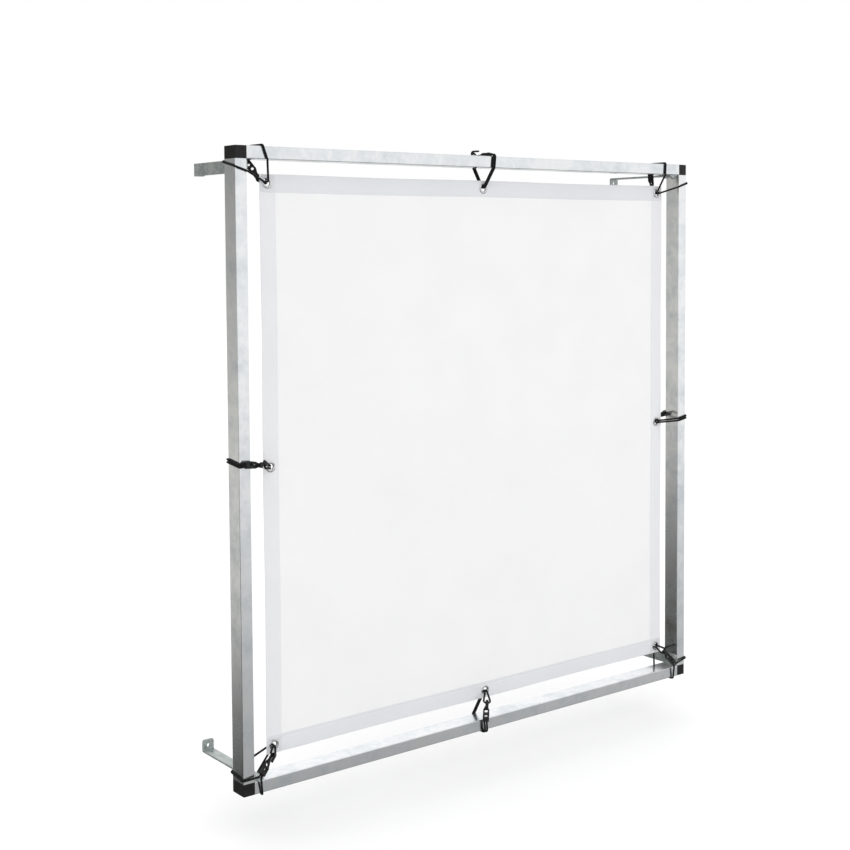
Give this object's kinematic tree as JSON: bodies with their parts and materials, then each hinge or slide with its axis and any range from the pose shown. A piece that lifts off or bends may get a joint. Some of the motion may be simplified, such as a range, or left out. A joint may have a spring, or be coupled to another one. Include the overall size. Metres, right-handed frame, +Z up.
{
  "type": "wall-mounted sheet tension frame",
  "caption": "Square tube frame on stand-off wall brackets that holds a hemmed, eyeleted fabric sheet taut with elastic loops and plastic hooks.",
  "frame": {"origin": "centre of the square of four wall holes, on the wall's face", "axes": "+Z up, front of the sheet faces -Y, +X to the right seen from the front, +Y into the wall"},
  "size_m": [1.5104, 0.27, 1.5221],
  "materials": {
    "mill_aluminium": "satin mill",
    "corner_plastic": "matte",
    "zinc_steel": "zinc plated",
    "bolt_steel": "zinc plated",
    "insert_brass": "machined",
    "sheet_fabric": "coated fabric",
    "hem_fabric": "welded double layer",
    "eyelet_nickel": "nickel plated",
    "elastic_braid": "braided",
    "hook_plastic": "moulded",
    "clamp_plastic": "moulded"
  },
  "bodies": {
    "frame": {"bottom_rail": "mill_aluminium", "bracket_bolts": "bolt_steel", "bracket_washers": "bolt_steel", "corner_connector_bottom_left": "corner_plastic", "corner_connector_bottom_right": "corner_plastic", "corner_connector_top_left": "corner_plastic", "corner_connector_top_right": "corner_plastic", "elastic_cord_bottom": "elastic_braid", "elastic_cord_bottom_left": "elastic_braid", "elastic_cord_bottom_right": "elastic_braid", "elastic_cord_left": "elastic_braid", "elastic_cord_right": "elastic_braid", "elastic_cord_top": "elastic_braid", "elastic_cord_top_left": "elastic_braid", "elastic_cord_top_right": "elastic_braid", "eyelet_washers": "eyelet_nickel", "eyelets": "eyelet_nickel", "hem_bottom": "hem_fabric", "hem_left": "hem_fabric", "hem_right": "hem_fabric", "hem_top": "hem_fabric", "left_upright": "mill_aluminium", "mesh_sheet": "sheet_fabric", "right_upright": "mill_aluminium", "threaded_inserts": "insert_brass", "top_rail": "mill_aluminium", "wall_bracket_bottom_left": "zinc_steel", "wall_bracket_bottom_right": "zinc_steel", "wall_bracket_top_left": "zinc_steel", "wall_bracket_top_right": "zinc_steel"},
    "hook_top_left": {"tie_hook_top_left": "hook_plastic", "cord_clamp_top_left": "clamp_plastic"},
    "hook_top": {"tie_hook_top": "hook_plastic", "cord_clamp_top": "clamp_plastic"},
    "hook_top_right": {"tie_hook_top_right": "hook_plastic", "cord_clamp_top_right": "clamp_plastic"},
    "hook_left": {"tie_hook_left": "hook_plastic", "cord_clamp_left": "clamp_plastic"},
    "hook_right": {"tie_hook_right": "hook_plastic", "cord_clamp_right": "clamp_plastic"},
    "hook_bottom_left": {"tie_hook_bottom_left": "hook_plastic", "cord_clamp_bottom_left": "clamp_plastic"},
    "hook_bottom": {"tie_hook_bottom": "hook_plastic", "cord_clamp_bottom": "clamp_plastic"},
    "hook_bottom_right": {"tie_hook_bottom_right": "hook_plastic", "cord_clamp_bottom_right": "clamp_plastic"}
  },
  "joints": [
    {"name": "hook_top_left_pull", "type": "slide", "parent": "frame", "child": "hook_top_left", "axis": [0.5898, -0.2093, -0.78], "range_m": [0, 0.005], "stiffness_N_per_m": 300, "springref_m": -0.002},
    {"name": "hook_top_pull", "type": "slide", "parent": "frame", "child": "hook_top", "axis": [-0.3714, 0.9285, 0], "range_m": [0, 0.005], "stiffness_N_per_m": 300, "springref_m": -0.002},
    {"name": "hook_top_right_pull", "type": "slide", "parent": "frame", "child": "hook_top_right", "axis": [-0.1379, -0.205, -0.969], "range_m": [0, 0.005], "stiffness_N_per_m": 300, "springref_m": -0.002},
    {"name": "hook_left_pull", "type": "slide", "parent": "frame", "child": "hook_left", "axis": [0.9974, 0, -0.0718], "range_m": [0, 0.005], "stiffness_N_per_m": 300, "springref_m": -0.002},
    {"name": "hook_right_pull", "type": "slide", "parent": "frame", "child": "hook_right", "axis": [-0.9932, 0, -0.1167], "range_m": [0, 0.005], "stiffness_N_per_m": 300, "springref_m": -0.002},
    {"name": "hook_bottom_left_pull", "type": "slide", "parent": "frame", "child": "hook_bottom_left", "axis": [0.6864, 0.1806, 0.7044], "range_m": [0, 0.005], "stiffness_N_per_m": 300, "springref_m": -0.002},
    {"name": "hook_bottom_pull", "type": "slide", "parent": "frame", "child": "hook_bottom", "axis": [0.095, 0, 0.9955], "range_m": [0, 0.005], "stiffness_N_per_m": 300, "springref_m": -0.002},
    {"name": "hook_bottom_right_pull", "type": "slide", "parent": "frame", "child": "hook_bottom_right", "axis": [-0.6362, 0.1871, 0.7485], "range_m": [0, 0.005], "stiffness_N_per_m": 300, "springref_m": -0.002}
  ]
}
